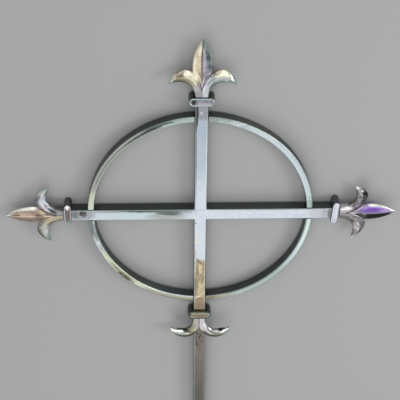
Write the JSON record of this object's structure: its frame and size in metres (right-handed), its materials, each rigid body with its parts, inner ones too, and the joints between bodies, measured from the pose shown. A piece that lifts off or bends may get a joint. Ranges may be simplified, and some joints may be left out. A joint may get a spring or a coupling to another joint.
{
  "type": "ornamental ring cross",
  "caption": "Forged steel cross on a square shaft, with a ring round its crossing, collars, and spear blades between curled leaves on its free ends.",
  "frame": {"origin": "on the floor under the middle of the outline; the cross lies on its back on its four collars", "axes": "+Y up the shaft towards the top spear, +X to the right of someone facing the front, +Z out of the front, which looks up"},
  "size_m": [0.383, 0.5266, 0.0189],
  "materials": {
    "bar_steel": "polished by hand, with straw heat tints and brown smears",
    "ring_steel": "polished by hand, with dark stripes and pale edges",
    "collar_steel": "polished rims round a duller brown-lilac face",
    "blade_steel": "polished, tinted straw, bronze and violet by heat",
    "leaf_steel": "polished, with cream and silver tints and dark smears"
  },
  "bodies": {
    "root": {"upright": "bar_steel", "crossbar": "bar_steel", "ring_upper_right": "ring_steel", "ring_upper_left": "ring_steel", "ring_lower_left": "ring_steel", "ring_lower_right": "ring_steel", "collar_top": "collar_steel", "collar_left": "collar_steel", "collar_right": "collar_steel", "collar_bottom": "collar_steel", "spear_top": "blade_steel", "spear_left": "blade_steel", "spear_right": "blade_steel", "leaf_top_left": "leaf_steel", "leaf_top_right": "leaf_steel", "leaf_left_upper": "leaf_steel", "leaf_left_lower": "leaf_steel", "leaf_right_upper": "leaf_steel", "leaf_right_lower": "leaf_steel", "leaf_bottom_left": "leaf_steel", "leaf_bottom_right": "leaf_steel"}
  },
  "joints": []
}
